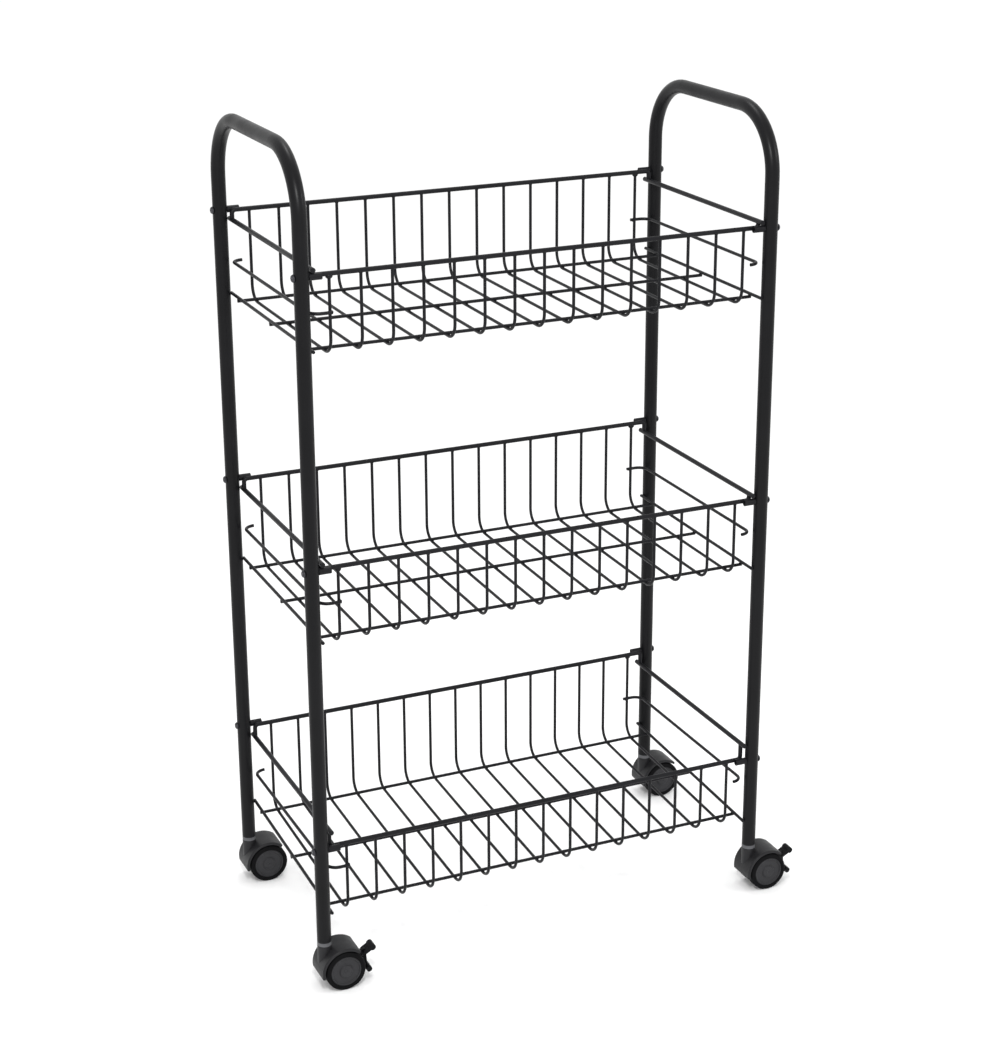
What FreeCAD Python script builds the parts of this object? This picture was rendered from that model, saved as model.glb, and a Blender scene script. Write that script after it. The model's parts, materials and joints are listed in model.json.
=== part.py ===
"""Rolling pantry cart: two inverted-U tube ends, three hanging wire baskets, four twin-wheel casters.

Frame: millimetres, +Z up, X along the length, front towards -Y, origin on the floor at the middle.
Each basket is drawn about its own rim level and each caster about its own stem axis on the floor.
"""
import FreeCAD, Part
import math
import os
import re

import Sketcher

# Driving dimensions: cell name, value, meaning.
SIZES = [
    # End frames
    ("leg_half_length", 220, "leg axis to the middle of the cart, along X"),
    ("leg_half_depth", 109.5, "leg axis to the middle of the cart, along Y"),
    ("tube_diameter", 13, "outside of the frame tube"),
    ("tube_bore", 10.6, "inside of the frame tube"),
    ("leg_foot", 47, "lower end of the legs"),
    ("handle_height", 760.9, "centre line of the top bar"),
    ("shoulder_bend", 56, "centre line radius of the two bends"),
    ("screw_hole", 4.4, "hole through a leg"),
    # Basket levels: rim at the ends, back and front runs against it, floor below it and its fall
    ("upper_rim", 664.5, "end rim level of the upper basket"),
    ("upper_rise", 9, "upper basket, back rim above the end rim"),
    ("upper_dip", 5.6, "upper basket, front rim below the end rim"),
    ("upper_depth", 74.5, "upper basket, floor at the back below the end rim"),
    ("upper_fall", 0.3, "upper basket, floor lower at the front by this"),
    ("middle_rim", 408.5, "end rim level of the middle basket"),
    ("middle_rise", 10.6, "middle basket, back rim above the end rim"),
    ("middle_dip", 6.2, "middle basket, front rim below the end rim"),
    ("middle_depth", 76.2, "middle basket, floor at the back below the end rim"),
    ("middle_fall", 1.8, "middle basket, floor lower at the front by this"),
    ("lower_rim", 154, "end rim level of the lower basket"),
    ("lower_rise", 13, "lower basket, back rim above the end rim"),
    ("lower_dip", 16.6, "lower basket, front rim below the end rim"),
    ("lower_depth", 77.2, "lower basket, floor at the back below the end rim"),
    ("lower_fall", 9, "lower basket, floor lower at the front by this"),
    # Basket wires
    ("rim_wire", 4.2, "wire diameter of the back and front runs of the rim"),
    ("end_run_wire", 4.4, "wire diameter of the end runs of the rim, a little thicker"),
    ("rim_half_length", 210.4, "rim centre line at the ends"),
    ("rim_half_depth", 104.3, "rim centre line at the front and back"),
    ("end_run_half", 112, "end runs of the rim reach the sides of the legs"),
    ("rim_bend", 3.4, "bend radius where the back and front runs turn to the end runs"),
    ("hoop_wire", 2.8, "wire diameter of the cross wires"),
    ("hoop_count", 15, "cross wires in a basket"),
    ("hoop_pitch", 27.85, "spacing of the cross wires"),
    ("hoop_offset", 0.7, "row of cross wires nearer the right end by this"),
    ("hoop_bend", 14, "bend radius of a cross wire"),
    ("floor_wire", 3, "wire diameter of the lengthwise floor wires"),
    ("floor_wire_spacing", 90.4, "spacing of the lengthwise floor wires"),
    ("floor_wire_half_length", 213, "half length of the lengthwise floor wires"),
    ("end_wire", 3, "wire diameter of the end wires"),
    ("end_wire_half_length", 212, "end wires touch the inner side of the legs"),
    ("wire_gap", 0.02, "low end wire clear of the floor wires where it is slanted"),
    ("low_wire_half_depth", 111, "low end wire reaches both legs"),
    ("mid_wire_drop", 38, "middle end wire below the end rim level"),
    ("mid_wire_half_depth", 107.2, "side arms of the middle end wire, outside the cross wires"),
    ("mid_wire_bend", 10, "corner radius of the middle end wire"),
    ("long_arm_end", 193, "arm that is welded to the last cross wire"),
    ("short_arm_end", 203.5, "arm that stops short of it"),
    # Corner fastenings
    ("sleeve_diameter", 6.2, "threaded sleeve on the rim"),
    ("sleeve_length", 11, "from the leg inwards"),
    ("screw_diameter", 4, "screw shank and sleeve thread"),
    ("screw_reach", 9, "thread inside the sleeve"),
    ("head_diameter", 6.8, "screw head"),
    ("head_height", 2.2, "screw head"),
    ("head_round", 1.3, "rounding of the screw head"),
    ("driver_size", 2.4, "round driver recess"),
    ("driver_depth", 1.2, "round driver recess"),
    # Casters, about the stem axis
    ("socket_foot", 43.4, "lower face of the socket collar"),
    ("socket_plug", 10.5, "plug inside the tube"),
    ("socket_top", 70, "upper end of the plug"),
    ("socket_bore", 6.6, "running fit on the stem"),
    ("stem_diameter", 6.4, "steel stem"),
    ("stem_foot", 33.5, "lower end of the stem, inside the hood"),
    ("stem_top", 66, "upper end of the stem"),
    ("stem_chamfer", 0.8, "lead-in of the stem"),
    ("trail", 15.2, "wheel axis behind the stem axis"),
    ("wheel_radius", 19, "tyre outside"),
    ("hub_radius", 14.5, "hub disc"),
    ("wheel_inner", 4.5, "inner face of a wheel from the middle plane"),
    ("wheel_outer", 15, "outer face of a wheel from the middle plane"),
    ("tyre_round", 2.4, "rounding of the tread edges"),
    ("hub_round", 1.2, "rounding of the hub face"),
    ("hub_bore", 5.2, "running fit on the axle"),
    ("hub_bore_depth", 9, "blind bore from the inner face"),
    ("axle_diameter", 5, "steel axle"),
    ("axle_length", 26, "steel axle"),
    ("hood_radius", 22.5, "outside of the hood"),
    ("well_radius", 20.2, "wheel well inside the hood"),
    ("web_radius", 16.5, "web below the hood"),
    ("web_half", 4, "half thickness of the web between the wheels"),
    ("boss_diameter", 13, "boss round the stem"),
    ("boss_foot", 26, "lower end of the boss"),
    ("boss_top", 43, "upper end of the boss"),
    ("hood_round", 1.6, "rounding of the hood's side edges"),
    # Brake lever of the front casters
    ("pivot_along", 28.4, "brake pivot behind the stem axis"),
    ("pivot_up", 25, "brake pivot above the floor"),
    ("pivot_pin", 2.5, "brake pivot pin"),
    ("pivot_bore", 2.6, "running fit on the pin"),
    ("slot_radius", 6.5, "clearance pocket for the lever"),
    ("slot_half", 2.2, "half width of the clearance pocket"),
    ("lever_half", 1.9, "half thickness of the lever in the pocket"),
    ("lever_root", 5.4, "width of the lever at the pivot"),
    ("lever_strip", 3.2, "thickness of the pedal strip"),
    ("elbow_along", 37.4, "where the lever widens into the pedal"),
    ("elbow_up", 27.2, "where the lever widens into the pedal"),
    ("pedal_half", 5, "half width of the pedal"),
    ("tip_along", 44.6, "rolled tip of the pedal"),
    ("tip_up", 31.3, "rolled tip of the pedal"),
    ("tip_diameter", 6, "rolled tip of the pedal"),
    ("shoe_along", 38.3, "brake shoe bar"),
    ("shoe_up", 14.3, "brake shoe bar"),
    ("shoe_diameter", 5.4, "brake shoe bar"),
    ("shoe_half", 12, "half length of the brake shoe bar"),
]

document = FreeCAD.newDocument("PantryCart")
sheet = document.addObject("Spreadsheet::Sheet", "Sizes")
for row, (cell_name, value, meaning) in enumerate(SIZES, start=1):
    sheet.set(f"A{row}", str(value))
    sheet.setAlias(f"A{row}", cell_name)
    sheet.set(f"B{row}", meaning)
document.recompute()

UP = FreeCAD.Vector(0, 0, 1)
BASKETS = ("upper", "middle", "lower")
ORIGIN_POINT = (-1, 1)
bodies = []


# ---------------------------------------------------------------- sheet and sketch helpers

def formula(words):
    """Cell names in plain arithmetic become references to the sheet."""
    return re.sub(r"[a-z][a-z_]*(?![a-z_(])", lambda found: "Sizes." + found.group(), words)


def size(words):
    """Present value of an arithmetic expression of cell names."""
    return float(sheet.evalExpression(formula(words)))


def new_body(label):
    body = document.addObject("PartDesign::Body", label)
    body.Label = label
    body.AllowCompound = True
    bodies.append(body)
    return body


def origin_plane(body, role):
    return next(plane for plane in body.Origin.OriginFeatures if plane.Role == role)


def new_sketch(body, name, role, offset="0"):
    """Sketch on an origin plane, moved along that plane's normal by a sheet expression."""
    sketch = body.newObject("Sketcher::SketchObject", name)
    sketch.AttachmentSupport = [(origin_plane(body, role), "")]
    sketch.MapMode = "FlatFace"
    sketch.setExpression("AttachmentOffset.Base.z", formula(offset))
    return sketch


def bind(sketch, kind, elements, words):
    """Dimension whose value follows the sheet."""
    index = sketch.addConstraint(Sketcher.Constraint(kind, *elements, size(words)))
    sketch.setExpression(f"Constraints[{index}]", formula(words))


def place_point(sketch, element, position, across, up):
    bind(sketch, "DistanceX", (*ORIGIN_POINT, element, position), across)
    bind(sketch, "DistanceY", (*ORIGIN_POINT, element, position), up)


def add_circle(sketch, across, up, diameter):
    centre = FreeCAD.Vector(size(across), size(up), 0)
    circle = sketch.addGeometry(Part.Circle(centre, UP, size(diameter) / 2), False)
    place_point(sketch, circle, 3, across, up)
    bind(sketch, "Diameter", (circle,), diameter)


def add_obround(sketch, start, end, width):
    """Straight-sided shape with round ends about the points start and end."""
    first = FreeCAD.Vector(size(start[0]), size(start[1]), 0)
    last = FreeCAD.Vector(size(end[0]), size(end[1]), 0)
    radius = size(width) / 2
    side = UP.cross(last - first).normalize() * radius
    ahead = (last - first).normalize() * radius
    outline = [
        Part.Arc(first + side, first - ahead, first - side),
        Part.LineSegment(first - side, last - side),
        Part.Arc(last - side, last + ahead, last + side),
        Part.LineSegment(last + side, first + side),
    ]
    back, right, front, left = sketch.addGeometry(outline, False)
    for one, one_end, other, other_end in (
        (back, 2, right, 1), (right, 2, front, 1), (front, 2, left, 1), (left, 2, back, 1),
    ):
        sketch.addConstraint(Sketcher.Constraint("Tangent", one, one_end, other, other_end))
    place_point(sketch, back, 3, *start)
    place_point(sketch, front, 3, *end)
    bind(sketch, "Radius", (back,), f"({width}) / 2")
    bind(sketch, "Radius", (front,), f"({width}) / 2")


def add_bent_path(sketch, corners, bend):
    """Straight runs between the corner points, joined by tangent arcs of one bend radius."""
    points = [FreeCAD.Vector(size(across), size(up), 0) for across, up in corners]
    radius = size(bend)
    edges = []
    left_turns = []
    run_start = points[0]
    for before, corner, after in zip(points, points[1:], points[2:]):
        back = (before - corner).normalize()
        ahead = (after - corner).normalize()
        half_angle = back.getAngle(ahead) / 2
        setback = radius / math.tan(half_angle)
        inward = (back + ahead).normalize()
        middle = corner + inward * (radius / math.sin(half_angle) - radius)
        edges.append(Part.LineSegment(run_start, corner + back * setback))
        edges.append(Part.Arc(corner + back * setback, middle, corner + ahead * setback))
        left_turns.append(ahead.cross(back).z > 0)
        run_start = corner + ahead * setback
    edges.append(Part.LineSegment(run_start, points[-1]))
    path = sketch.addGeometry(edges, False)
    marks = [sketch.addGeometry(Part.Point(point), True) for point in points]
    for mark, (across, up) in zip(marks, corners):
        place_point(sketch, mark, 1, across, up)
    lines, arcs = path[0::2], path[1::2]
    for arc, line_in, line_out, turns_left in zip(arcs, lines, lines[1:], left_turns):
        arc_in, arc_out = (1, 2) if turns_left else (2, 1)
        sketch.addConstraint(Sketcher.Constraint("Tangent", line_in, 2, arc, arc_in))
        sketch.addConstraint(Sketcher.Constraint("Tangent", arc, arc_out, line_out, 1))
        bind(sketch, "Radius", (arc,), bend)
    sketch.addConstraint(Sketcher.Constraint("Coincident", lines[0], 1, marks[0], 1))
    sketch.addConstraint(Sketcher.Constraint("Coincident", lines[-1], 2, marks[-1], 1))
    for line, mark_in, mark_out in zip(lines, marks, marks[1:]):
        if mark_in != marks[0]:
            sketch.addConstraint(Sketcher.Constraint("PointOnObject", mark_in, 1, line))
        if mark_out != marks[-1]:
            sketch.addConstraint(Sketcher.Constraint("PointOnObject", mark_out, 1, line))
    return [f"Edge{number}" for number in range(1, len(edges) + 1)]


# ---------------------------------------------------------------- feature helpers

def pad(body, name, sketch, length, symmetric=False):
    feature = body.newObject("PartDesign::Pad", name)
    feature.Profile = sketch
    feature.SideType = "Symmetric" if symmetric else "One side"
    feature.setExpression("Length", formula(length))
    document.recompute()
    return feature


def pocket(body, name, sketch, length, symmetric=False, reverse=False):
    """Cut that must remove material, so its direction is proved by the volume."""
    before = body.Shape.Volume
    feature = body.newObject("PartDesign::Pocket", name)
    feature.Profile = sketch
    feature.SideType = "Symmetric" if symmetric else "One side"
    feature.Reversed = reverse
    feature.setExpression("Length", formula(length))
    document.recompute()
    if not feature.Shape.Volume < before - 0.01:
        raise RuntimeError(f"{body.Label}: {name} removed nothing")
    return feature


def pipe(body, name, path_plane, path_offset, corners, bend, section, diameters):
    """Round wire or tube swept along a bent path; section is (plane, offset, across, up)."""
    path = new_sketch(body, name + "_path", path_plane, path_offset)
    path_edges = add_bent_path(path, corners, bend)
    section_plane, section_offset, across, up = section
    profile = new_sketch(body, name + "_section", section_plane, section_offset)
    for diameter in diameters:
        add_circle(profile, across, up, diameter)
    document.recompute()
    feature = body.newObject("PartDesign::AdditivePipe", name)
    feature.Profile = (profile, [""])
    feature.Spine = (path, path_edges)
    document.recompute()
    return feature


def mirror(body, name, originals, role):
    feature = body.newObject("PartDesign::Mirrored", name)
    feature.Originals = originals
    feature.MirrorPlane = (origin_plane(body, role), [""])
    body.Tip = feature
    document.recompute()
    return feature


def round_edges(body, name, radius, wanted):
    """Fillet on the edges of the present shape that the test picks out."""
    base = body.Tip
    names = [f"Edge{i}" for i, edge in enumerate(base.Shape.Edges, start=1) if wanted(edge)]
    feature = body.newObject("PartDesign::Fillet", name)
    feature.Base = (base, names)
    feature.setExpression("Radius", formula(radius))
    document.recompute()
    return feature


def is_circle(edge, radius):
    return edge.Curve.TypeId == "Part::GeomCircle" and abs(edge.Curve.Radius - radius) < 1e-6


def is_side_circle(edge, radius, depth):
    """Circular edge of this radius on a face at this depth, to the front or to the back."""
    return is_circle(edge, radius) and abs(abs(edge.Curve.Center.y) - depth) < 1e-6


def raise_to(body, level):
    body.setExpression("Placement.Base.z", formula(level))


# ---------------------------------------------------------------- end frames

def end_frame(side, sign):
    """Hollow tube bent to an inverted U, drilled through both walls for the basket screws."""
    body = new_body(f"{side}_end_frame")
    corners = [
        ("-leg_half_depth", "leg_foot"),
        ("-leg_half_depth", "handle_height"),
        ("leg_half_depth", "handle_height"),
        ("leg_half_depth", "leg_foot"),
    ]
    section = ("XY_Plane", "leg_foot", "0", "-leg_half_depth")
    pipe(body, "tube", "YZ_Plane", "0", corners, "shoulder_bend", section, ["tube_diameter", "tube_bore"])
    holes = new_sketch(body, "screw_hole_centres", "YZ_Plane")
    for level in BASKETS:
        add_circle(holes, "leg_half_depth", f"{level}_rim + {level}_rise", "screw_hole")
        add_circle(holes, "-leg_half_depth", f"{level}_rim - {level}_dip", "screw_hole")
    pocket(body, "screw_holes", holes, "tube_diameter * 2", symmetric=True)
    body.setExpression("Placement.Base.x", formula(f"{sign} leg_half_length"))


# ---------------------------------------------------------------- baskets

def corner_seats(level):
    """Where a basket meets the legs: depth across the cart and height against its end rim."""
    return (("leg_half_depth", f"{level}_rise"), ("-leg_half_depth", f"-{level}_dip"))


def basket_rim(level):
    """Welded wire frame: straight end runs, a back run bent up and a front run bent down to them."""
    body = new_body(f"{level}_basket_rim")
    ends = new_sketch(body, "end_run_section", "XZ_Plane")
    add_circle(ends, "-rim_half_length", "0", "end_run_wire")
    add_circle(ends, "rim_half_length", "0", "end_run_wire")
    pad(body, "end_runs", ends, "end_run_half * 2", symmetric=True)
    for run, sign, height in (("back", "-", f"{level}_rise"), ("front", "", f"-{level}_dip")):
        corners = [
            ("-rim_half_length", "0"), ("-rim_half_length", height),
            ("rim_half_length", height), ("rim_half_length", "0"),
        ]
        depth = f"{sign} rim_half_depth"
        section = ("XY_Plane", "0", "-rim_half_length", f"-({depth})")
        pipe(body, f"{run}_run", "XZ_Plane", depth, corners, "rim_bend", section, ["rim_wire"])
    raise_to(body, f"{level}_rim")


def cross_wires(level):
    """Row of U-shaped hoops that hang below the rim, their ends against its underside."""
    body = new_body(f"{level}_basket_cross_wires")
    front_top = f"-({level}_dip + rim_wire / 2)"
    corners = [
        ("-rim_half_depth", front_top),
        ("-rim_half_depth", f"-({level}_depth + {level}_fall)"),
        ("rim_half_depth", f"-{level}_depth"),
        ("rim_half_depth", f"{level}_rise - rim_wire / 2"),
    ]
    row_start = "hoop_offset - hoop_pitch * (hoop_count - 1) / 2"
    section = ("XY_Plane", front_top, row_start, "-rim_half_depth")
    hoop = pipe(body, "hoop", "YZ_Plane", row_start, corners, "hoop_bend", section, ["hoop_wire"])
    row_of_hoops = body.newObject("PartDesign::LinearPattern", "row")
    row_of_hoops.Originals = [hoop]
    row_of_hoops.Direction = (origin_plane(body, "YZ_Plane"), [""])
    row_of_hoops.setExpression("Length", formula("hoop_pitch * (hoop_count - 1)"))
    row_of_hoops.setExpression("Occurrences", formula("hoop_count"))
    body.Tip = row_of_hoops
    raise_to(body, f"{level}_rim")


def floor_wire_levels(level):
    """Heights of the front, middle and back floor wires, which all ride on the hoops.

    The outer two rest in the start of the hoop bends, so they follow the centres of those bends.
    """
    stack = "(hoop_wire + floor_wire) / 2"
    slope = f"({level}_fall / (2 * rim_half_depth))"
    stretch = f"sqrt(1 + {slope}^2)"
    beside_bend = "(floor_wire_spacing - rim_half_depth + hoop_bend)"
    below_centre = f"sqrt((hoop_bend - {stack})^2 - {beside_bend}^2)"
    front = f"hoop_bend * ({stretch} + {slope}) - {level}_depth - {level}_fall - {below_centre}"
    middle = f"{stack} * {stretch} - {level}_depth - {level}_fall / 2"
    back = f"hoop_bend * ({stretch} - {slope}) - {level}_depth - {below_centre}"
    return front, middle, back


def floor_wires(level):
    body = new_body(f"{level}_basket_floor_wires")
    ends = new_sketch(body, "wire_ends", "YZ_Plane")
    for depth, height in zip(("-floor_wire_spacing", "0", "floor_wire_spacing"), floor_wire_levels(level)):
        add_circle(ends, depth, height, "floor_wire")
    pad(body, "wires", ends, "floor_wire_half_length * 2", symmetric=True)
    raise_to(body, f"{level}_rim")


def end_wires(level, side, sign, front_arm, back_arm):
    """Low straight wire across the floor wire ends and a U-shaped wire half way up."""
    body = new_body(f"{level}_basket_{side}_end_wires")
    front, _, back = floor_wire_levels(level)
    stack = "(floor_wire + end_wire) / 2 + wire_gap"
    overhang = f"(({back}) - ({front})) * (low_wire_half_depth / floor_wire_spacing - 1) / 2"
    low_corners = [
        ("-low_wire_half_depth", f"{front} + {stack} - {overhang}"),
        ("low_wire_half_depth", f"{back} + {stack} + {overhang}"),
    ]
    at_end = f"{sign} end_wire_half_length"
    low_section = ("XZ_Plane", "low_wire_half_depth", at_end, low_corners[0][1])
    pipe(body, "low_wire", "YZ_Plane", at_end, low_corners, "mid_wire_bend", low_section, ["end_wire"])
    corners = [
        (f"{sign} {front_arm}", "-mid_wire_half_depth"), (at_end, "-mid_wire_half_depth"),
        (at_end, "mid_wire_half_depth"), (f"{sign} {back_arm}", "mid_wire_half_depth"),
    ]
    section = ("YZ_Plane", f"{sign} {front_arm}", "-mid_wire_half_depth", "-mid_wire_drop")
    pipe(body, "mid_wire", "XY_Plane", "-mid_wire_drop", corners, "mid_wire_bend", section, ["end_wire"])
    raise_to(body, f"{level}_rim")


def sleeves(level):
    """Threaded sleeves along the rim corners, one behind each leg."""
    body = new_body(f"{level}_basket_sleeves")
    inner_end = "leg_half_length - tube_diameter / 2 - sleeve_length"
    ends = new_sketch(body, "sleeve_section", "YZ_Plane", inner_end)
    for depth, height in corner_seats(level):
        add_circle(ends, depth, height, "sleeve_diameter")
        add_circle(ends, depth, height, "screw_diameter")
    right_pair = pad(body, "right_pair", ends, "sleeve_length")
    mirror(body, "left_pair", [right_pair], "YZ_Plane")
    raise_to(body, f"{level}_rim")


def screws(level):
    """Screws through the legs into the sleeves, with rounded heads on the outside."""
    body = new_body(f"{level}_basket_screws")
    leg_inside = "leg_half_length - tube_diameter / 2"
    leg_outside = "leg_half_length + tube_diameter / 2"
    shank = new_sketch(body, "shank_section", "YZ_Plane", f"{leg_inside} - screw_reach")
    head = new_sketch(body, "head_section", "YZ_Plane", leg_outside)
    driver = new_sketch(body, "driver_section", "YZ_Plane", f"{leg_outside} + head_height")
    for depth, height in corner_seats(level):
        add_circle(shank, depth, height, "screw_diameter")
        add_circle(head, depth, height, "head_diameter")
        add_circle(driver, depth, height, "driver_size")
    pad(body, "shanks", shank, "screw_reach + tube_diameter")
    pad(body, "heads", head, "head_height")
    pocket(body, "driver_recesses", driver, "driver_depth")
    outer_face = size(f"{leg_outside} + head_height")
    head_radius = size("head_diameter / 2")
    round_edges(
        body, "head_rounding", "head_round",
        lambda edge: is_circle(edge, head_radius) and abs(edge.Curve.Center.x - outer_face) < 1e-6,
    )
    both_ends = body.newObject("PartDesign::Mirrored", "both_ends")
    both_ends.TransformMode = "Whole shape"
    both_ends.MirrorPlane = (origin_plane(body, "YZ_Plane"), [""])
    body.Tip = both_ends
    raise_to(body, f"{level}_rim")


# ---------------------------------------------------------------- casters

def caster_sockets():
    """Collared plugs in the four leg ends, bored for the caster stems."""
    body = new_body("caster_sockets")
    collar = new_sketch(body, "collar_section", "XY_Plane", "socket_foot")
    plug = new_sketch(body, "plug_section", "XY_Plane", "leg_foot")
    for along in ("leg_half_length", "-leg_half_length"):
        for depth in ("leg_half_depth", "-leg_half_depth"):
            add_circle(collar, along, depth, "tube_diameter")
            add_circle(collar, along, depth, "socket_bore")
            add_circle(plug, along, depth, "socket_plug")
            add_circle(plug, along, depth, "socket_bore")
    pad(body, "collars", collar, "leg_foot - socket_foot")
    pad(body, "plugs", plug, "socket_top - leg_foot")


def stand_at_leg(body, x_sign, y_sign):
    body.setExpression("Placement.Base.x", formula(f"{x_sign} leg_half_length"))
    body.setExpression("Placement.Base.y", formula(f"{y_sign} leg_half_depth"))


def stem(label):
    body = new_body(label)
    foot = new_sketch(body, "stem_section", "XY_Plane", "stem_foot")
    add_circle(foot, "0", "0", "stem_diameter")
    rod = pad(body, "rod", foot, "stem_top - stem_foot")
    top = size("stem_top")
    names = [
        f"Edge{i}" for i, edge in enumerate(rod.Shape.Edges, start=1)
        if is_circle(edge, size("stem_diameter / 2")) and abs(edge.Curve.Center.z - top) < 1e-6
    ]
    lead_in = body.newObject("PartDesign::Chamfer", "lead_in")
    lead_in.Base = (rod, names)
    lead_in.setExpression("Size", formula("stem_chamfer"))
    return body


HOOD_FRONT_ANGLE = 190
HOOD_BACK_ANGLE = 50


def add_hood_outline(sketch):
    """Hood arc over the wheels and a smaller web arc below, both about the wheel axis."""
    centre = FreeCAD.Vector(size("trail"), size("wheel_radius"), 0)

    def on_ray(radius, angle):
        turn = math.radians(angle)
        return centre + FreeCAD.Vector(math.cos(turn), math.sin(turn), 0) * radius

    start, end = math.radians(HOOD_BACK_ANGLE), math.radians(HOOD_FRONT_ANGLE)
    outer = Part.Circle(centre, UP, size("hood_radius"))
    inner = Part.Circle(centre, UP, size("web_radius"))
    outline = [
        Part.ArcOfCircle(outer, start, end),
        Part.LineSegment(on_ray(outer.Radius, HOOD_FRONT_ANGLE), on_ray(inner.Radius, HOOD_FRONT_ANGLE)),
        Part.ArcOfCircle(inner, end, start + 2 * math.pi),
        Part.LineSegment(on_ray(inner.Radius, HOOD_BACK_ANGLE), on_ray(outer.Radius, HOOD_BACK_ANGLE)),
    ]
    hood, front_edge, web, back_edge = sketch.addGeometry(outline, False)
    for one, one_end, other, other_end in (
        (hood, 2, front_edge, 1), (front_edge, 2, web, 1), (web, 2, back_edge, 1), (back_edge, 2, hood, 1),
        (hood, 3, web, 3),
    ):
        sketch.addConstraint(Sketcher.Constraint("Coincident", one, one_end, other, other_end))
    place_point(sketch, hood, 3, "trail", "wheel_radius")
    bind(sketch, "Radius", (hood,), "hood_radius")
    bind(sketch, "Radius", (web,), "web_radius")
    for line, angle in ((front_edge, HOOD_FRONT_ANGLE - 180), (back_edge, HOOD_BACK_ANGLE)):
        sketch.addConstraint(Sketcher.Constraint("Angle", line, math.radians(angle)))
        sketch.addConstraint(Sketcher.Constraint("PointOnObject", hood, 3, line))


def hood(label, has_brake):
    """Dome over both wheels, with the web between them, the stem boss and the axle hole."""
    body = new_body(label)
    outline = new_sketch(body, "hood_outline", "XZ_Plane")
    add_hood_outline(outline)
    pad(body, "shell", outline, "wheel_outer * 2", symmetric=True)
    boss = new_sketch(body, "boss_section", "XY_Plane", "boss_foot")
    add_circle(boss, "0", "0", "boss_diameter")
    pad(body, "boss", boss, "boss_top - boss_foot")
    side = size("wheel_outer")
    round_edges(
        body, "side_rounding", "hood_round",
        lambda edge: is_side_circle(edge, size("hood_radius"), side),
    )
    for name, plane_offset in (("front_well", "web_half"), ("back_well", "-2 * wheel_outer")):
        well = new_sketch(body, name + "_outline", "XZ_Plane", plane_offset)
        add_circle(well, "trail", "wheel_radius", "well_radius * 2")
        pocket(body, name, well, "2 * wheel_outer - web_half", reverse=True)
    axle_hole = new_sketch(body, "axle_hole_outline", "XZ_Plane")
    add_circle(axle_hole, "trail", "wheel_radius", "axle_diameter")
    pocket(body, "axle_hole", axle_hole, "wheel_outer * 2", symmetric=True)
    stem_hole = new_sketch(body, "stem_hole_outline", "XY_Plane", "boss_top")
    add_circle(stem_hole, "0", "0", "stem_diameter")
    pocket(body, "stem_hole", stem_hole, "boss_top - stem_foot")
    if has_brake:
        slot = new_sketch(body, "lever_slot_outline", "XZ_Plane")
        add_circle(slot, "pivot_along", "pivot_up", "slot_radius * 2")
        pocket(body, "lever_slot", slot, "slot_half * 2", symmetric=True)
        pin_hole = new_sketch(body, "pin_hole_outline", "XZ_Plane")
        add_circle(pin_hole, "pivot_along", "pivot_up", "pivot_pin")
        pocket(body, "pin_hole", pin_hole, "wheel_outer * 2", symmetric=True)
    return body


def cross_rod(label, along, up, diameter, length):
    body = new_body(label)
    end = new_sketch(body, "rod_section", "XZ_Plane")
    add_circle(end, along, up, diameter)
    pad(body, "rod", end, length, symmetric=True)
    return body


# The XZ plane's normal points to the front, so a front wheel starts at a positive offset.
WHEEL_START = {"front": "wheel_inner", "back": "-wheel_outer"}


def tyre(label, place):
    body = new_body(label)
    ring = new_sketch(body, "tyre_section", "XZ_Plane", WHEEL_START[place])
    add_circle(ring, "trail", "wheel_radius", "wheel_radius * 2")
    add_circle(ring, "trail", "wheel_radius", "hub_radius * 2")
    pad(body, "ring", ring, "wheel_outer - wheel_inner")
    round_edges(body, "tread_rounding", "tyre_round", lambda edge: is_circle(edge, size("wheel_radius")))
    return body


def hub(label, place):
    """Closed disc in the tyre, bored from its inner face for the axle."""
    body = new_body(label)
    disc = new_sketch(body, "disc_section", "XZ_Plane", WHEEL_START[place])
    add_circle(disc, "trail", "wheel_radius", "hub_radius * 2")
    pad(body, "disc", disc, "wheel_outer - wheel_inner")
    outer_face = size("wheel_outer")
    round_edges(
        body, "face_rounding", "hub_round",
        lambda edge: is_side_circle(edge, size("hub_radius"), outer_face),
    )
    bore_start = "wheel_inner" if place == "front" else "-wheel_inner"
    bore = new_sketch(body, "bore_section", "XZ_Plane", bore_start)
    add_circle(bore, "trail", "wheel_radius", "hub_bore")
    pocket(body, "bore", bore, "hub_bore_depth", reverse=place == "front")
    return body


def brake_lever(label):
    """Rocking lever: a pedal strip with a rolled tip above, a cross bar that meets the tyres below."""
    body = new_body(label)
    pivot = ("pivot_along", "pivot_up")
    elbow = ("elbow_along", "elbow_up")
    tip = ("tip_along", "tip_up")
    shoe = ("shoe_along", "shoe_up")
    for name, start, end, width, half in (
        ("root", pivot, elbow, "lever_root", "lever_half"),
        ("pedal", elbow, tip, "lever_strip", "pedal_half"),
        ("lower_arm", elbow, shoe, "lever_strip", "lever_half"),
    ):
        outline = new_sketch(body, name + "_outline", "XZ_Plane")
        add_obround(outline, start, end, width)
        pad(body, name, outline, f"{half} * 2", symmetric=True)
    for name, point, diameter, half in (
        ("rolled_tip", tip, "tip_diameter", "pedal_half"),
        ("shoe_bar", shoe, "shoe_diameter", "shoe_half"),
    ):
        outline = new_sketch(body, name + "_outline", "XZ_Plane")
        add_circle(outline, *point, diameter)
        pad(body, name, outline, f"{half} * 2", symmetric=True)
    bore = new_sketch(body, "bore_outline", "XZ_Plane")
    add_circle(bore, *pivot, "pivot_bore")
    pocket(body, "pivot_bore", bore, "wheel_outer * 2", symmetric=True)
    return body


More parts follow.
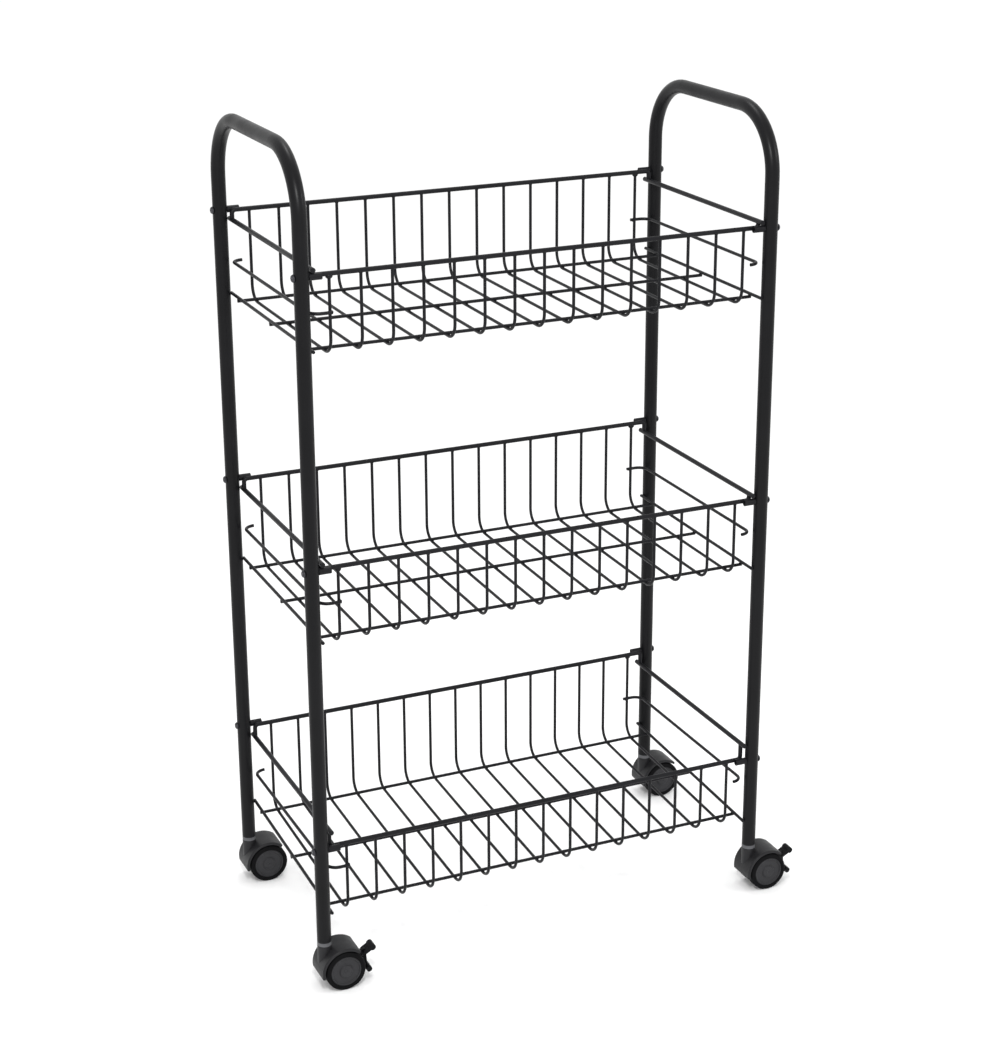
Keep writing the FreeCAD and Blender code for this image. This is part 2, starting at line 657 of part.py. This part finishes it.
def caster(corner, x_sign, y_sign, has_brake):
    name = f"{corner}_caster"
    pieces = [
        stem(f"{name}_stem"),
        hood(f"{name}_hood", has_brake),
        cross_rod(f"{name}_axle", "trail", "wheel_radius", "axle_diameter", "axle_length"),
    ]
    for place in ("front", "back"):
        pieces.append(tyre(f"{name}_{place}_tyre", place))
        pieces.append(hub(f"{name}_{place}_hub", place))
    if has_brake:
        pieces.append(brake_lever(f"{name}_brake_lever"))
        pieces.append(cross_rod(f"{name}_brake_pin", "pivot_along", "pivot_up", "pivot_pin", "web_half * 2"))
    for piece in pieces:
        stand_at_leg(piece, x_sign, y_sign)


# ---------------------------------------------------------------- the whole cart

end_frame("left", "-")
end_frame("right", "")
for basket in BASKETS:
    basket_rim(basket)
    cross_wires(basket)
    floor_wires(basket)
    end_wires(basket, "left", "-", "long_arm_end", "short_arm_end")
    end_wires(basket, "right", "", "short_arm_end", "long_arm_end")
    sleeves(basket)
    screws(basket)
caster_sockets()
caster("front_left", "-", "-", True)
caster("front_right", "", "-", True)
caster("rear_left", "-", "", False)
caster("rear_right", "", "", False)
document.recompute()

for item in document.Objects:
    if "Invalid" in item.State or "Error" in item.State:
        raise RuntimeError(f"{item.Label} failed: {item.State}")
for body in bodies:
    if body.Shape.isNull() or not body.Shape.isValid():
        raise RuntimeError(f"{body.Label} has no valid shape")

os.makedirs("parts", exist_ok=True)
for body in bodies:
    body.Shape.exportStep(f"parts/{body.Label}.step")
    print(f"{body.Label}: {len(body.Shape.Solids)} solids, {body.Shape.Volume:.1f} mm3")
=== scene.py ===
import json
import math
import random

import bmesh
import bpy
from mathutils import Matrix, Vector


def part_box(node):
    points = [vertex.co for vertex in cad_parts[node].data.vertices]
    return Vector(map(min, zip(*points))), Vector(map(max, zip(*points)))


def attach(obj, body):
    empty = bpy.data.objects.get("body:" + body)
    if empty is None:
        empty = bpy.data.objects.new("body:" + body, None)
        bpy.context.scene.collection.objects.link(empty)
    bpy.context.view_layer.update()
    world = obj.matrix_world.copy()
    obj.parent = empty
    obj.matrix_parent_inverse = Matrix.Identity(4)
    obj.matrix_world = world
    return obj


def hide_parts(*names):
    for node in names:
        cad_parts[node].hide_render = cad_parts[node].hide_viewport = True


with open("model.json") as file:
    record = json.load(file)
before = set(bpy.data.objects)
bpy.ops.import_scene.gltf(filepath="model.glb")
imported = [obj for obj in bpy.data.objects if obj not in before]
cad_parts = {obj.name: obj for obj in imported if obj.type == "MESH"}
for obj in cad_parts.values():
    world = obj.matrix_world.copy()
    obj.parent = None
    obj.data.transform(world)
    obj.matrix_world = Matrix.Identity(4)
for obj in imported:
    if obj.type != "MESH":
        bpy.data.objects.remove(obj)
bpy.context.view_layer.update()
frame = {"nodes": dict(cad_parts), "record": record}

nodes = frame["nodes"]
MM = 0.001
LEVELS = ("upper", "middle", "lower")
CORNERS = ("front_left", "front_right", "rear_left", "rear_right")

# Radii of the wires and sleeves that the welds are placed by, and the cross wires in a basket
CROSS_WIRE_RADIUS = 1.4 * MM
CROSS_WIRE_COUNT = 15
RIM_RADIUS = 2.1 * MM
FLOOR_WIRE_RADIUS = 1.5 * MM
END_WIRE_RADIUS = 1.5 * MM
SLEEVE_RADIUS = 3.1 * MM


# ---------------------------------------------------------------- materials

class Material:
    """Small wrapper that adds and links shader nodes by name."""

    def __init__(self, name, color, roughness, metallic=0.0, **sockets):
        self.material = bpy.data.materials.new(name)
        self.material.use_nodes = True
        self.tree = self.material.node_tree
        self.shader = self.tree.nodes["Principled BSDF"]
        self.shader.inputs["Base Color"].default_value = (*color, 1)
        self.shader.inputs["Roughness"].default_value = roughness
        self.shader.inputs["Metallic"].default_value = metallic
        for socket, value in sockets.items():
            self.shader.inputs[socket.replace("_", " ")].default_value = value
        self.place = self.add("ShaderNodeTexCoord").outputs["Object"]

    def add(self, kind, **values):
        """New node; each value sets the socket of that name, or else the property."""
        node = self.tree.nodes.new(kind)
        for key, value in values.items():
            if key in node.inputs:
                node.inputs[key].default_value = value
            else:
                setattr(node, key, value)
        return node

    def link(self, source, target):
        self.tree.links.new(source, target)

    def noise(self, scale, detail=3.0, roughness=0.5, stretch=None):
        texture = self.add("ShaderNodeTexNoise", Scale=scale, Detail=detail, Roughness=roughness)
        place = self.place
        if stretch:
            mapping = self.add("ShaderNodeMapping", Scale=stretch)
            self.link(place, mapping.inputs["Vector"])
            place = mapping.outputs["Vector"]
        self.link(place, texture.inputs["Vector"])
        return texture.outputs["Fac"]

    def remap(self, value, low, high, to_low, to_high):
        """Value moved from the range low to high into the range to_low to to_high."""
        ends = {"From Min": low, "From Max": high, "To Min": to_low, "To Max": to_high}
        node = self.add("ShaderNodeMapRange", **ends)
        self.link(value, node.inputs["Value"])
        return node.outputs["Result"]

    def blend(self, factor, first, second):
        """Colour mix; first and second are colours or sockets."""
        node = self.add("ShaderNodeMix", data_type="RGBA")
        self.link(factor, node.inputs[0])
        for socket, value in ((node.inputs[6], first), (node.inputs[7], second)):
            if isinstance(value, tuple):
                socket.default_value = (*value, 1)
            else:
                self.link(value, socket)
        return node.outputs[2]

    def bump(self, height, distance, strength=1.0, below=None):
        node = self.add("ShaderNodeBump", Distance=distance, Strength=strength)
        self.link(height, node.inputs["Height"])
        if below is not None:
            self.link(below, node.inputs["Normal"])
        return node.outputs["Normal"]

    def edges(self, start, end):
        """0 on flat surface, 1 on convex edges."""
        geometry = self.add("ShaderNodeNewGeometry")
        return self.remap(geometry.outputs["Pointiness"], start, end, 0, 1)

    def finish(self, color=None, roughness=None, normal=None):
        for value, socket in ((color, "Base Color"), (roughness, "Roughness"), (normal, "Normal")):
            if value is not None:
                self.link(value, self.shader.inputs[socket])
        return self.material


def times(color, factor):
    """Colour made lighter or darker, no brighter than white."""
    return tuple(min(1.0, factor * part) for part in color)


def powder_coat(name, color, roughness):
    """Satin powder coat: fine orange peel, faint cloudiness and bright speckle."""
    coat = Material(name, color, roughness, Specular_IOR_Level=0.13)
    cloud = coat.remap(coat.noise(18, 4), 0.3, 0.7, 0, 1)
    speckle = coat.remap(coat.noise(2200, 2), 0.55, 0.75, 0, 0.35)
    tone = coat.blend(cloud, color, times(color, 1.5))
    tone = coat.blend(speckle, tone, times(color, 3))
    gloss = coat.remap(coat.noise(45, 4), 0.3, 0.7, roughness - 0.05, roughness + 0.08)
    peel = coat.bump(coat.noise(900, 3), 0.00012, 0.5)
    grain = coat.bump(coat.noise(3500, 2), 0.00004, 0.4, peel)
    return coat.finish(tone, gloss, grain)


def moulded_plastic(name, color, roughness, shine=0.2):
    """Moulded nylon: spark-eroded grain, faint flow marks, painted highlight along convex edges."""
    plastic = Material(name, color, roughness, Specular_IOR_Level=shine)
    flow = plastic.remap(plastic.noise(60, 5, 0.6), 0.35, 0.65, 0, 1)
    tone = plastic.blend(flow, color, times(color, 1.35))
    # Painted highlight: convex edges are painted lighter, standing in for light catching the edges
    painted_edge_highlight = plastic.remap(plastic.edges(0.52, 0.60), 0, 1, 0, 0.4)
    tone = plastic.blend(painted_edge_highlight, tone, times(color, 2.4))
    gloss = plastic.remap(plastic.noise(120, 4), 0.3, 0.7, roughness - 0.07, roughness + 0.08)
    grain = plastic.bump(plastic.noise(2600, 3), 0.00008, 0.5)
    return plastic.finish(tone, gloss, grain)


def zinc_steel(name, color):
    """Zinc plate with faint drawing marks along the rod."""
    steel = Material(name, color, 0.32, 1.0)
    cloud = steel.remap(steel.noise(160, 4), 0.3, 0.7, 0, 1)
    tone = steel.blend(cloud, color, times(color, 0.8))
    gloss = steel.remap(steel.noise(300, 3, 0.5, (1, 1, 12)), 0.3, 0.7, 0.24, 0.42)
    return steel.finish(tone, gloss, steel.bump(steel.noise(1800, 2, 0.5, (1, 1, 14)), 0.00003, 0.4))


def blackened_steel(name, color):
    """Black oxide with bright metal where the edges are rubbed."""
    steel = Material(name, color, 0.35, 0.9)
    cloud = steel.remap(steel.noise(400, 4), 0.3, 0.7, 0, 1)
    tone = steel.blend(cloud, times(color, 0.7), times(color, 1.6))
    worn = steel.remap(steel.edges(0.53, 0.62), 0, 1, 0, 0.5)
    tone = steel.blend(worn, tone, times(color, 7))
    gloss = steel.remap(steel.noise(700, 3), 0.3, 0.7, 0.28, 0.45)
    return steel.finish(tone, gloss, steel.bump(steel.noise(3000, 2), 0.00003, 0.4))


def floor_paper(name):
    """Matt white floor, faintly cloudy."""
    pale = (0.95, 0.95, 0.95)
    paper = Material(name, pale, 0.9, Specular_IOR_Level=0.2)
    cloud = paper.remap(paper.noise(1.5, 3), 0.3, 0.7, 0, 1)
    tone = paper.blend(cloud, pale, (0.97, 0.97, 0.97))
    return paper.finish(tone, None, paper.bump(paper.noise(300, 2), 0.0002, 0.1))


FINISHES = {
    "frame_paint": powder_coat("frame_powder_coat", (0.0042, 0.0042, 0.0048), 0.33),
    "wire_paint": powder_coat("wire_powder_coat", (0.006, 0.006, 0.0072), 0.38),
    "screw_steel": blackened_steel("screw_black_oxide", (0.045, 0.045, 0.05)),
    "socket_plastic": moulded_plastic("socket_grey_plastic", (0.06, 0.061, 0.065), 0.5),
    "stem_steel": zinc_steel("stem_zinc", (0.62, 0.62, 0.63)),
    "hood_plastic": moulded_plastic("hood_dark_nylon", (0.011, 0.011, 0.0122), 0.45),
    "tyre_black": moulded_plastic("tyre_black_nylon", (0.003, 0.003, 0.0034), 0.6, 0.06),
    "hub_grey": moulded_plastic("hub_grey_nylon", (0.021, 0.021, 0.023), 0.45),
    "lever_black": moulded_plastic("lever_black_nylon", (0.003, 0.003, 0.0034), 0.45, 0.08),
}


def paint_cad_nodes():
    """Every CAD node takes the finish of its slot in the record."""
    for part in frame["record"]["subparts"]:
        node = nodes[part["node"]]
        if not node.data.materials:
            node.data.materials.append(None)
        for slot in node.material_slots:
            slot.material = FINISHES[part["material_slot"]]


# ---------------------------------------------------------------- mesh helpers

def rounded_profile(points, steps=5):
    """Outline with arcs in place of its corners; each point is (radius, along, corner radius) in mm."""
    outline = []
    for index, (radius, along, corner) in enumerate(points):
        here = Vector((radius, along))
        if corner == 0:
            outline.append(here * MM)
            continue
        before = Vector(points[index - 1][:2])
        after = Vector(points[(index + 1) % len(points)][:2])
        back = (before - here).normalized()
        ahead = (after - here).normalized()
        half = back.angle(ahead) / 2
        start = here + back * (corner / math.tan(half))
        end = here + ahead * (corner / math.tan(half))
        middle = here + (back + ahead).normalized() * (corner / math.sin(half))
        first = math.atan2(start.y - middle.y, start.x - middle.x)
        last = math.atan2(end.y - middle.y, end.x - middle.x)
        sweep = (last - first + math.pi) % (2 * math.pi) - math.pi
        for step in range(steps + 1):
            turn = first + sweep * step / steps
            outline.append((middle + corner * Vector((math.cos(turn), math.sin(turn)))) * MM)
    return outline


def lathe(mesh, outline, centre, axis, closed, segments):
    """Surface of revolution of (radius, along) points; along runs from the centre on the axis."""
    axis = Vector(axis)
    across = axis.orthogonal().normalized()
    beside = axis.cross(across)
    rings = []
    for radius, along in outline:
        if radius < 1e-9:
            rings.append([mesh.verts.new(centre + axis * along)])
            continue
        ring = []
        for step in range(segments):
            turn = 2 * math.pi * step / segments
            ring.append(mesh.verts.new(
                centre + axis * along + (across * math.cos(turn) + beside * math.sin(turn)) * radius
            ))
        rings.append(ring)
    pairs = list(zip(rings, rings[1:]))
    if closed:
        pairs.append((rings[-1], rings[0]))
    for one, other in pairs:
        for step in range(segments):
            following = (step + 1) % segments
            corners = [
                one[step % len(one)], one[following % len(one)],
                other[following % len(other)], other[step % len(other)],
            ]
            mesh.faces.new(list(dict.fromkeys(corners)))


def make_piece(name, mesh, slot, body, replaced=(), sharp_angle=38):
    """Turn a bmesh into a smooth-shaded object that rides on a body; the angle is in degrees."""
    bmesh.ops.recalc_face_normals(mesh, faces=mesh.faces)
    data = bpy.data.meshes.new(name)
    mesh.to_mesh(data)
    mesh.free()
    data.materials.append(FINISHES[slot])
    data.shade_smooth()
    data.set_sharp_from_angle(angle=math.radians(sharp_angle))
    piece = bpy.data.objects.new(name, data)
    bpy.context.scene.collection.objects.link(piece)
    if replaced:
        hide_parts(*replaced)
    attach(piece, body)
    return piece


# ---------------------------------------------------------------- basket welds

# Half sizes of the welds along X, Y and Z, in mm
FLOOR_NUGGET = (1.5, 1.5, 0.8)
RIM_NUGGET = (1.7, 1.7, 1.0)
CORNER_BEAD = (3.2, 2.4, 2.6)
LOW_WIRE_NUGGET = (1.5, 1.5, 0.9)
LEG_NUGGET = (0.8, 1.8, 1.6)
SLEEVE_NUGGET = (2.6, 0.9, 1.4)
ARM_BEAD = (2.4, 1.4, 2.2)
# From the low end wire in to the weld beside a sleeve
SLEEVE_NUGGET_INSET = 7 * MM
# How unevenly the welds are stretched and, in radians, turned
WELD_STRETCH = (0.88, 1.12)
WELD_TURN = 0.5


def cross_wire_stations(level):
    """X of each cross wire, from the box of the whole row."""
    low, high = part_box(f"{level}_basket_cross_wires")
    first = low.x + CROSS_WIRE_RADIUS
    pitch = (high.x - CROSS_WIRE_RADIUS - first) / (CROSS_WIRE_COUNT - 1)
    return [first + pitch * index for index in range(CROSS_WIRE_COUNT)]


def floor_wire_lines(level):
    """Depth and height of the centre line of each lengthwise wire, from front to back."""
    name = f"{level}_basket_floor_wires"
    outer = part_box(name)[1].y - FLOOR_WIRE_RADIUS
    points = [nodes[name].matrix_world @ vertex.co for vertex in nodes[name].data.vertices]
    lines = []
    for depth in (-outer, 0, outer):
        near = [point.z for point in points if abs(point.y - depth) < 2 * FLOOR_WIRE_RADIUS]
        lines.append((depth, (min(near) + max(near)) / 2))
    return lines


def cross_wire_welds(level, stations, lines):
    """Centre and half sizes of the welds that hold each cross wire to the floor wires and the rim."""
    rim_low, rim_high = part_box(f"{level}_basket_rim")
    rim_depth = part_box(f"{level}_basket_cross_wires")[1].y - CROSS_WIRE_RADIUS
    back_underside = rim_high.z - 2 * RIM_RADIUS
    welds = []
    for x in stations:
        for y, z in lines:
            welds.append(((x, y, z - FLOOR_WIRE_RADIUS), FLOOR_NUGGET))
        back_weld = CORNER_BEAD if x == stations[-1] else RIM_NUGGET
        welds.append(((x, rim_depth, back_underside), back_weld))
        front_weld = CORNER_BEAD if x == stations[0] else RIM_NUGGET
        welds.append(((x, -rim_depth, rim_low.z), front_weld))
    return welds


def end_wire_welds(level, sign, last_cross_wire, lines):
    """Centre and half sizes of the welds at one end: floor wires, legs, sleeves and the long arm."""
    side = "left" if sign < 0 else "right"
    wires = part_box(f"{level}_basket_{side}_end_wires")
    sleeves_low, sleeves_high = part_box(f"{level}_basket_sleeves")
    cross_wire_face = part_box(f"{level}_basket_cross_wires")[1].y
    low_wire = sign * (max(abs(wires[0].x), abs(wires[1].x)) - END_WIRE_RADIUS)
    welds = [((low_wire, y, z + FLOOR_WIRE_RADIUS), LOW_WIRE_NUGGET) for y, z in lines]
    (front, front_level), (_, middle_level), (back, back_level) = lines
    slope = (back_level - front_level) / (back - front)
    sleeve_axes = (
        (sleeves_low.y + SLEEVE_RADIUS, sleeves_low.z + SLEEVE_RADIUS),
        (sleeves_high.y - SLEEVE_RADIUS, sleeves_high.z - SLEEVE_RADIUS),
    )
    for y, z in sleeve_axes:
        low_wire_level = middle_level + slope * y + FLOOR_WIRE_RADIUS + END_WIRE_RADIUS
        welds.append(((low_wire + sign * END_WIRE_RADIUS, y, low_wire_level), LEG_NUGGET))
        outer_face = y - math.copysign(SLEEVE_RADIUS, y)
        welds.append(((low_wire - sign * SLEEVE_NUGGET_INSET, outer_face, z), SLEEVE_NUGGET))
    arm_level = wires[1].z - END_WIRE_RADIUS
    welds.append(((last_cross_wire, sign * cross_wire_face, arm_level), ARM_BEAD))
    return welds


def add_welds(level, dice):
    """Small uneven nuggets where the wires of a basket meet."""
    stations = cross_wire_stations(level)
    lines = floor_wire_lines(level)
    welds = cross_wire_welds(level, stations, lines)
    welds += end_wire_welds(level, -1, stations[0], lines)
    welds += end_wire_welds(level, 1, stations[-1], lines)
    mesh = bmesh.new()
    for centre, half_sizes in welds:
        stretch = [size * MM * dice.uniform(*WELD_STRETCH) for size in half_sizes]
        turn = Matrix.Rotation(dice.uniform(-WELD_TURN, WELD_TURN), 4, "Z")
        place = Matrix.Translation(centre) @ turn @ Matrix.Diagonal((*stretch, 1))
        bmesh.ops.create_icosphere(mesh, subdivisions=2, radius=1, matrix=place)
    make_piece(f"{level}_basket_welds", mesh, "wire_paint", "cart")


# ---------------------------------------------------------------- screws

# Sizes in mm
HEAD_RADIUS = 3.4
HEAD_HEIGHT = 2.2
HEX_RADIUS = 1.2
HEX_DEPTH = 1.2
# Radius, height above the leg and corner radius, from the recess out to the leg
HEAD_FLANK = [(1.4, HEAD_HEIGHT, 0.1), (2.5, 1.95, 0.7), (HEAD_RADIUS, 0.6, 0.4), (HEAD_RADIUS, 0, 0.2)]
# Radius and height above the leg, down to the tip
SHANK = [(2.0, 0), (2.0, -21.5), (1.5, -22), (0, -22)]
HEX_TAPER = 0.97
SCREW_SEGMENTS = 36


def screw_outline():
    """Half section of a screw from the mouth of its recess to its tip, as (radius, along) points."""
    # The two points on the axis only steer the arcs beside them
    head = rounded_profile([(0, HEAD_HEIGHT, 0), *HEAD_FLANK, (0, 0, 0)])[1:-1]
    shank = [(radius * MM, along * MM) for radius, along in SHANK]
    return [(point.x, point.y) for point in head] + shank


def add_screw(mesh, seat, outward):
    """One screw whose head sits on the leg at seat, with a hexagon recess in the head."""
    outline = screw_outline()
    lathe(mesh, outline, seat, outward, closed=False, segments=SCREW_SEGMENTS)
    across = outward.orthogonal().normalized()
    beside = outward.cross(across)
    mouth_radius, top = outline[0]
    flat = HEX_RADIUS * MM * math.cos(math.pi / 6)
    outer, mouth, deep = [], [], []
    for step in range(SCREW_SEGMENTS):
        turn = 2 * math.pi * step / SCREW_SEGMENTS
        reach = flat / math.cos((turn % (math.pi / 3)) - math.pi / 6)
        spoke = across * math.cos(turn) + beside * math.sin(turn)
        outer.append(mesh.verts.new(seat + outward * top + spoke * mouth_radius))
        mouth.append(mesh.verts.new(seat + outward * top + spoke * reach))
        floor = seat + outward * (top - HEX_DEPTH * MM)
        deep.append(mesh.verts.new(floor + spoke * reach * HEX_TAPER))
    for one, other in ((outer, mouth), (mouth, deep)):
        for step in range(SCREW_SEGMENTS):
            following = (step + 1) % SCREW_SEGMENTS
            mesh.faces.new((one[step], one[following], other[following], other[step]))
    mesh.faces.new(deep)
    bmesh.ops.remove_doubles(mesh, verts=mesh.verts[:], dist=1e-7)


def add_screws(level):
    """The four screws of a basket, two through each end."""
    node = f"{level}_basket_screws"
    low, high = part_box(node)
    inset = HEAD_RADIUS * MM
    leg_face = high.x - HEAD_HEIGHT * MM
    mesh = bmesh.new()
    for y, z in ((low.y + inset, low.z + inset), (high.y - inset, high.z - inset)):
        for sign in (-1, 1):
            add_screw(mesh, Vector((sign * leg_face, y, z)), Vector((sign, 0, 0)))
    name = f"{level}_basket_socket_screws"
    make_piece(name, mesh, "screw_steel", "cart", [node], sharp_angle=30)


# ---------------------------------------------------------------- caster wheels

# Radius, distance from the inner face and corner radius in mm
TYRE = [
    (14.5, 0.0, 0.3), (19.0, 0.0, 2.2), (19.0, 4.95, 0.15), (18.8, 5.1, 0.05), (18.8, 5.4, 0.05),
    (19.0, 5.55, 0.15), (19.0, 10.5, 2.2), (14.5, 10.5, 0.3),
]
HUB = [
    (0, 0.0, 0), (14.45, 0.0, 0.3), (14.45, 10.2, 0.6), (13.1, 10.2, 0.4), (12.6, 9.0, 0.5),
    (6.4, 9.0, 0.6), (5.7, 10.3, 0.6), (1.6, 10.5, 0.4), (1.2, 10.1, 0.2), (0, 10.1, 0),
]
TYRE_SEGMENTS = 96
HUB_SEGMENTS = 72


def add_wheel(caster, place):
    """Tyre and hub of the wheel on the front or back end of a caster's axle."""
    outward = Vector((0, -1 if place == "front" else 1, 0))
    low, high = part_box(f"{caster}_{place}_tyre")
    middle = (low + high) / 2
    inner = Vector((middle.x, high.y if place == "front" else low.y, middle.z))
    body = f"{caster}_{place}_wheel"
    tyre = bmesh.new()
    lathe(tyre, rounded_profile(TYRE), inner, outward, closed=True, segments=TYRE_SEGMENTS)
    make_piece(f"{caster}_{place}_tread", tyre, "tyre_black", body, [f"{caster}_{place}_tyre"])
    hub = bmesh.new()
    lathe(hub, rounded_profile(HUB), inner, outward, closed=False, segments=HUB_SEGMENTS)
    make_piece(f"{caster}_{place}_disc", hub, "hub_grey", body, [f"{caster}_{place}_hub"])


# ---------------------------------------------------------------- floor, light and camera

# Angles in degrees, distances in metres, lens and sensor in mm
CAMERA_AZIMUTH = 23.82
CAMERA_ELEVATION = 18.96
CAMERA_ROLL = -0.357
CAMERA_TARGET = (-0.004, 0, 0.4176)
CAMERA_DISTANCE = 2.031
CAMERA_LENS = 75.06
CAMERA_SENSOR = 36
CAMERA_SHIFT = -0.04
FLOOR_SIZE = 60
WORLD_STRENGTH = 1.08
LIGHT_TARGET = (0, 0, 0.4)
# Place, disc diameter and power of each softbox
LIGHTS = {
    "key": ((-0.5, -1.0, 1.3), 0.25, 9),
    "fill": ((1.3, -0.9, 1.2), 0.3, 4),
    "top": ((0.1, 0.3, 1.7), 0.4, 4),
}


def add_floor():
    bpy.ops.mesh.primitive_plane_add(size=FLOOR_SIZE, location=(0, 0, 0))
    floor = bpy.context.object
    floor.name = "floor"
    floor.data.materials.append(floor_paper("pale_floor"))


def add_light(name, location, size, power):
    """Round softbox aimed at the middle of the cart."""
    data = bpy.data.lights.new(name, "AREA")
    data.shape = "DISK"
    data.size = size
    data.energy = power
    light = bpy.data.objects.new(name, data)
    light.location = location
    aim = Vector(LIGHT_TARGET) - Vector(location)
    light.rotation_euler = aim.to_track_quat("-Z", "Y").to_euler()
    bpy.context.scene.collection.objects.link(light)


def add_world():
    world = bpy.data.worlds.new("studio")
    bpy.context.scene.world = world
    world.use_nodes = True
    background = world.node_tree.nodes["Background"]
    background.inputs["Color"].default_value = (1, 1, 1, 1)
    background.inputs["Strength"].default_value = WORLD_STRENGTH


def add_camera():
    """View from the front left, a little above the upper basket."""
    azimuth = math.radians(CAMERA_AZIMUTH)
    elevation = math.radians(CAMERA_ELEVATION)
    ahead = Vector((
        math.sin(azimuth) * math.cos(elevation),
        math.cos(azimuth) * math.cos(elevation),
        -math.sin(elevation),
    ))
    data = bpy.data.cameras.new("camera")
    data.lens = CAMERA_LENS
    data.sensor_width = CAMERA_SENSOR
    data.shift_y = CAMERA_SHIFT
    camera = bpy.data.objects.new("camera", data)
    camera.location = Vector(CAMERA_TARGET) - ahead * CAMERA_DISTANCE
    camera.rotation_mode = "QUATERNION"
    roll = Matrix.Rotation(math.radians(CAMERA_ROLL), 3, "Z").to_quaternion()
    camera.rotation_quaternion = ahead.to_track_quat("-Z", "Y") @ roll
    bpy.context.scene.collection.objects.link(camera)
    bpy.context.scene.camera = camera


# ---------------------------------------------------------------- the scene

WELD_SEED = 7

paint_cad_nodes()
dice = random.Random(WELD_SEED)
for level in LEVELS:
    add_welds(level, dice)
    add_screws(level)
for corner in CORNERS:
    for place in ("front", "back"):
        add_wheel(f"{corner}_caster", place)

add_floor()
add_world()
for name, (location, size, power) in LIGHTS.items():
    add_light(name, location, size, power)
add_camera()
bpy.context.scene.view_settings.view_transform = "Standard"
